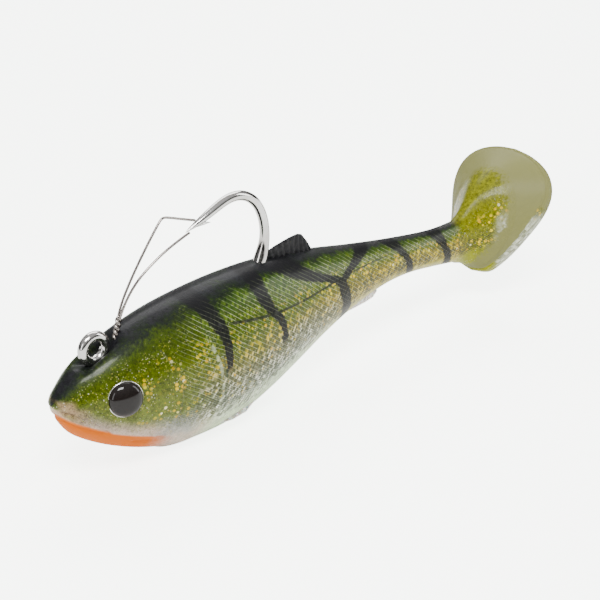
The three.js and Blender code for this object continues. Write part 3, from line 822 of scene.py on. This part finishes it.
# ---- Eyes ---------------------------------------------------------------------------------------
# Stick-on eyes, 7.5 mm across: a silver-rimmed printed disc under a dark domed lens.
def turned(name, profile, at, direction, sides=64):
    """A shape turned about a line that starts at a point in mm and runs in a direction."""
    steps = np.linspace(0, 2 * math.pi, sides, endpoint=False)
    vertices, faces = [], []
    for r, h in profile:
        vertices += [(r * math.cos(a), r * math.sin(a), h) for a in steps]
    for i in range(len(profile) - 1):
        for k in range(sides):
            a, b = i * sides + k, i * sides + (k + 1) % sides
            faces.append((a, b, b + sides, a + sides))
    faces.append(tuple(range(sides))[::-1])
    faces.append(tuple(range((len(profile) - 1) * sides, len(profile) * sides)))
    mesh = bpy.data.meshes.new(name)
    mesh.from_pydata([tuple(MM * c for c in v) for v in vertices], [], faces)
    mesh.polygons.foreach_set("use_smooth", [len(f) == 4 for f in faces])
    made = bpy.data.objects.new(name, mesh)
    bpy.context.scene.collection.objects.link(made)
    turn = Vector(direction).normalized().to_track_quat("Z", "Y").to_matrix().to_4x4()
    made.matrix_world = Matrix.Translation(place(*at)) @ turn
    return made


silver_rim, s, surface = finish("eye_rim", Base_Color=(0.62, 0.61, 0.57), Metallic=1.0, Roughness=0.22)
speckle = s.node("ShaderNodeTexNoise", {"Scale": 1800.0, "Detail": 2.0})
s.feed(
    surface.inputs["Roughness"], s.ramp(speckle.outputs["Fac"], [(0.3, (0.12,) * 3), (0.7, (0.34,) * 3)])
)
dark_lens, s, surface = finish("eye_lens", Roughness=0.03, IOR=1.36)
cloud = s.node("ShaderNodeTexNoise", {"Scale": 260.0, "Detail": 3.0})
s.feed(
    surface.inputs["Base Color"],
    s.ramp(cloud.outputs["Fac"], [(0.35, (0.004, 0.003, 0.003)), (0.75, (0.02, 0.016, 0.014))]),
)

EYE_X, EYE_Z, YAW, TILT = 11.6, -0.8, math.radians(16), math.radians(8)
EYE_RADIUS, LENS_RADIUS, LENS_DOME = 3.75, 3.58, 1.8
DISC_TOP = 1.16  # the disc's top above its seat, where the lens is
SEAT_DEPTH = 1.3  # how deep the eye is let into the head
for side, word in ((-1, "left"), (1, "right")):
    level_part = math.cos(TILT)
    direction = np.array([-math.sin(YAW) * level_part, side * math.cos(YAW) * level_part, math.sin(TILT)])
    low, high, wide = along(belly_line, EYE_X), along(back_line, EYE_X), along(flank_line, EYE_X)
    middle = low + WIDEST * (high - low)
    reach = (EYE_Z - middle) / (high - middle if EYE_Z > middle else middle - low)
    seat = np.array([EYE_X, side * wide * math.sqrt(1 - reach**2), EYE_Z]) - SEAT_DEPTH * direction
    rim = [(EYE_RADIUS, -1.2), (EYE_RADIUS, 1.0), (3.7, 1.12), (3.5, DISC_TOP)]
    disc = turned(f"eye_rim_{word}", rim, seat, direction)
    disc.data.materials.append(silver_rim)
    quarter = np.linspace(0, math.pi / 2 - 0.02, 20)
    dome = [(LENS_RADIUS * math.cos(t), DISC_TOP + LENS_DOME * math.sin(t)) for t in quarter]
    lens = turned(f"eye_lens_{word}", [(LENS_RADIUS, 0.9)] + dome, seat, direction)
    lens.data.materials.append(dark_lens)
    for piece, node in ((disc, f"eye_disc_{word}"), (lens, f"eye_lens_{word}")):
        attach(piece, "front")
        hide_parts(node)


# ---- Hook and line tie --------------------------------------------------------------------------
# One nickel-plated wire of 2.1 mm: a round line tie on the forehead, the shank inside the fish, the
# bend out of the back, and a ground point with one barb that lies over the back.
def swept(name, points, radii, sides=20, closed=False):
    """A round wire along points in mm, with a radius at each, smoothed between them."""
    curve = bpy.data.curves.new(name, "CURVE")
    curve.dimensions = "3D"
    curve.resolution_u = 12
    curve.bevel_depth = MM
    curve.bevel_resolution = sides // 4
    curve.use_fill_caps = True
    line = curve.splines.new("NURBS")
    line.points.add(len(points) - 1)
    for spot, at, radius in zip(line.points, points, radii):
        spot.co = (*place(*at), 1)
        spot.radius = radius
    line.use_cyclic_u = closed
    line.use_endpoint_u = not closed
    line.order_u = 4
    made = bpy.data.objects.new(name, curve)
    bpy.context.scene.collection.objects.link(made)
    bpy.context.view_layer.update()
    mesh = bpy.data.meshes.new_from_object(made.evaluated_get(bpy.context.evaluated_depsgraph_get()))
    bpy.data.objects.remove(made)
    mesh.name = name
    mesh.polygons.foreach_set("use_smooth", [True] * len(mesh.polygons))
    made = bpy.data.objects.new(name, mesh)
    bpy.context.scene.collection.objects.link(made)
    return made


plated, s, surface = finish("nickel_wire", Base_Color=(0.80, 0.78, 0.75), Metallic=1.0, Roughness=0.1)
s.feed(surface.inputs["Roughness"], s.speckle(900.0, 3.0, [(0.35, (0.06,) * 3), (0.7, (0.2,) * 3)]))
s.feed(
    surface.inputs["Base Color"],
    s.speckle(160.0, 4.0, [(0.3, (0.50, 0.475, 0.45)), (0.65, (0.78, 0.77, 0.75))]),
)

TIE_X, TIE_Z, TIE_RADIUS = 10.3, 7.9, 2.7
WIRE_RADIUS = 1.05
once_round = np.linspace(0, 2 * math.pi, 16, endpoint=False)
tie_path = [(TIE_X + TIE_RADIUS * math.cos(a), 0, TIE_Z + TIE_RADIUS * math.sin(a)) for a in once_round]
tie = swept("line_tie", tie_path, [WIRE_RADIUS] * 16, closed=True)
hook_path = [
    (12.2, 0, 6.1), (14.3, 0, 2.5), (18.6, 0, -1.5), (30, 0, -1.5), (44, 0, -0.9), (50, 0, 4.2),
    (52.9, 0, 9.2), (54.3, 0, 12.4), (55.2, 0, 14.8), (56.0, 0, 17.8), (55.7, 0, 22.0), (53.7, 0, 26.6),
    (50.0, 0, 29.2), (46, 0, 29.5), (42.6, 0, 28.3), (39.5, 0, 27.05), (37, 0, 26.15), (35.4, 0, 25.6),
    (34.3, 0, 25.2),
]
# the soft body is drawn up the wire where it comes out of the back, and the point is ground thin
ground = [1.03, 1.0, 0.86, 0.56, 0.3, 0.03]
hook_radii = [0.97, 1.0] + [WIRE_RADIUS] * 4 + [1.35, 1.62, 1.3] + [WIRE_RADIUS] * 4 + ground
hook = swept("hook_wire", hook_path, hook_radii)
barb = swept(
    "hook_barb",
    [(37.2, 0, 26.0), (38.4, 0, 26.0), (39.8, 0, 25.8), (41.1, 0, 25.5)],
    [0.42, 0.5, 0.3, 0.03],
)
for piece in (hook, tie, barb):
    piece.data.materials.append(plated)
    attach(piece, "front")
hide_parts("hook")


# ---- Weed guard ---------------------------------------------------------------------------------
# Two thin spring wires, twisted together where they leave the head and spread to either side of the
# hook's point. Each arm presses down about the top of the twist.
spring, s, surface = finish("spring_wire", Base_Color=(0.30, 0.27, 0.25), Metallic=1.0, Roughness=0.25)
fork, foot = np.array([16.9, 0, 12.7]), np.array([14.9, 0, 5.4])
lay = (fork - foot) / np.linalg.norm(fork - foot)
out = np.cross(lay, [0, 1, 0])
TWIST = 22  # radians that each strand turns from end to end
STRAND_OFFSET, STRAND_RADIUS, ARM_RADIUS = 0.38, 0.33, 0.27
for strand, word in ((0, "first"), (1, "second")):
    path = []
    for t in np.linspace(0, 1, 60):
        a = strand * math.pi + t * TWIST
        round_axis = math.cos(a) * out + math.sin(a) * np.array([0, 1, 0])
        path.append(tuple(foot + (fork - foot) * t + STRAND_OFFSET * round_axis))
    wound = swept(f"guard_twist_{word}", path, [STRAND_RADIUS] * len(path), sides=12)
    wound.data.materials.append(spring)
    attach(wound, "front")
    if strand == 0:
        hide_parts("guard_root")
right_arm = [
    (16.9, 0.3, 12.4), (17.6, 0.6, 14.0), (19.9, 0.9, 17.6), (24.6, 1.4, 23.3), (28.9, 1.75, 28.1),
    (30.0, 1.82, 29.1), (30.9, 1.88, 29.0), (32.8, 1.9, 28.3), (35.6, 1.85, 27.2), (38.4, 1.75, 26.2),
]
left_arm = [
    (16.9, 0.3, 12.4), (17.3, 0.5, 13.9), (18.8, 0.8, 16.8), (21.3, 1.2, 19.8), (24.8, 1.5, 22.2),
    (28.8, 1.65, 24.3), (34, 1.75, 25.9),
]
for word, side, points in (("right", 1, right_arm), ("left", -1, left_arm)):
    path = [(x, side * y, z) for x, y, z in points]
    arm = swept(f"guard_arm_wire_{word}", path, [ARM_RADIUS] * len(path), sides=12)
    arm.data.materials.append(spring)
    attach(arm, f"guard_{word}")
    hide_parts(f"guard_arm_{word}")


# ---- Fins ---------------------------------------------------------------------------------------
# The fins are cast with the body: a low black fin with slanting rays behind the hook, a clear one
# under the tail, and a small leaf on each side of the belly.
def fin(name, root, free, thick, rays, slant, at=(0, 0, 0), turn=None):
    """A thin fin between two edges of (x, z) points in mm, with raised rays across it."""
    columns, rows = 120, 26
    across = np.linspace(0, 1, columns)
    a, b = (
        [np.interp(across, np.linspace(0, 1, len(line)), [q[i] for q in line]) for i in (0, 1)]
        for line in (root, free)
    )
    v = np.linspace(0, 1, rows)[:, None]
    x, z = a[0] * (1 - v) + b[0] * v, a[1] * (1 - v) + b[1] * v
    u = across[None, :] + 0 * v
    edge = np.clip(np.minimum(np.minimum(u, 1 - u) * 14, (1 - v) * 5 + 0 * u), 0, 1)
    ribbed = 0.72 + 0.28 * np.cos(2 * math.pi * (u * rays + v * slant))
    half = thick * (0.42 + 0.58 * (1 - v)) * np.sqrt(edge) * ribbed
    layers = [np.stack([x, s * half, z], axis=2).reshape(-1, 3) for s in (-1, 1)]
    points = np.concatenate(layers)
    if turn is not None:
        points = points @ np.array(turn.to_matrix()).T
    points = points + np.array(at)
    n = rows * columns
    faces = []
    for r in range(rows - 1):
        for c in range(columns - 1):
            q = r * columns + c
            faces.append((q, q + 1, q + columns + 1, q + columns))
            faces.append((n + q, n + q + columns, n + q + columns + 1, n + q + 1))
    rim = [(0, c) for c in range(columns)] + [(r, columns - 1) for r in range(1, rows)]
    rim += [(rows - 1, c) for c in range(columns - 2, -1, -1)] + [(r, 0) for r in range(rows - 2, 0, -1)]
    ids = [r * columns + c for r, c in rim]
    faces += [(i, n + i, n + j, j) for i, j in zip(ids, ids[1:] + ids[:1])]
    mesh = bpy.data.meshes.new(name)
    mesh.from_pydata(((points + NOSE) * MM).tolist(), [], faces)
    mesh.polygons.foreach_set("use_smooth", [True] * len(mesh.polygons))
    made = bpy.data.objects.new(name, mesh)
    bpy.context.scene.collection.objects.link(made)
    return made


fin_black, s, surface = finish(
    "fin_black", Base_Color=(0.012, 0.012, 0.013), Roughness=0.5, Specular_IOR_Level=0.22
)
s.feed(
    surface.inputs["Base Color"],
    s.speckle(1400.0, 3.0, [(0.35, (0.004, 0.004, 0.005)), (0.75, (0.02, 0.02, 0.021))]),
)
fin_clear, s, surface = finish(
    "fin_clear",
    Base_Color=(0.50, 0.50, 0.44),
    Roughness=0.35,
    Transmission_Weight=0.35,
    Coat_Weight=0.4,
    Subsurface_Weight=0.4,
    Subsurface_Scale=0.002,
)
s.feed(
    surface.inputs["Base Color"],
    s.speckle(700.0, 3.0, [(0.35, (0.36, 0.37, 0.32)), (0.7, (0.68, 0.68, 0.60))]),
)

dorsal_root = [(x, along(back_line, x) - 0.4) for x in np.linspace(56.4, 69.6, 8)]
dorsal_edge = [
    (56.6, 14.4), (58.6, 14.9), (61, 15.3), (63.2, 15.6), (65.3, 15.7), (66.6, 15.2), (68.2, 13.2),
    (69.4, 11.2),
]
dorsal = fin("dorsal_fin_rays", dorsal_root, dorsal_edge, thick=0.8, rays=9, slant=0.9)
dorsal.data.materials.append(fin_black)
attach(dorsal, "front")
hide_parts("dorsal_fin")

anal_root = [(x, along(belly_line, x) + 0.5) for x in np.linspace(78.6, 91, 8)]
anal_edge = [(79, -8.2), (82, -8.5), (85, -8.3), (87.5, -8.1), (89.6, -7.7), (90.9, -6.6)]
anal = fin("anal_fin_web", anal_root, anal_edge, thick=0.6, rays=9, slant=0.8)
anal.data.materials.append(fin_clear)
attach(anal, "rear")
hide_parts("anal_fin")

leaf_root = [(-5.5, 0.4), (-2, 0.9), (2, 0.7), (5.5, 0.2)]
leaf_edge = [(-5, -0.4), (-2, -1.2), (2, -1.4), (5.6, -0.3)]
for side, word in ((-1, "left"), (1, "right")):
    spot, turn = (41, side * 6.6, -15.6), Euler((side * math.radians(38), math.radians(-9), 0))
    leaf = fin(f"pelvic_fin_leaf_{word}", leaf_root, leaf_edge, 0.5, 6, 0.5, at=spot, turn=turn)
    leaf.data.materials.append(fin_clear)
    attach(leaf, "front")
    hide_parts(f"pelvic_fin_{word}")


# ---- Inside the fish ----------------------------------------------------------------------------
# The lead round the shank and the strips of foil beside it are cast in and can't be seen from outside.
cast_lead, s, surface = finish("cast_lead", Base_Color=(0.30, 0.31, 0.33), Metallic=0.9, Roughness=0.6)
s.feed(
    surface.inputs["Base Color"],
    s.speckle(420.0, 5.0, [(0.3, (0.20, 0.21, 0.23)), (0.7, (0.42, 0.43, 0.45))]),
)
foil, s, surface = finish("flash_foil", Metallic=1.0, Roughness=0.18)
prism = s.node(
    "ShaderNodeTexVoronoi", {"Vector": s.node("ShaderNodeTexCoord").outputs["Object"], "Scale": 900.0}
)
s.feed(surface.inputs["Base Color"], s.mix(0.6, prism.outputs["Color"], (0.85, 0.82, 0.6)))
for name, material in (("lead_weight", cast_lead), ("flash_foil_left", foil), ("flash_foil_right", foil)):
    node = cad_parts[name]
    node.data.materials.clear()
    node.data.materials.append(material)
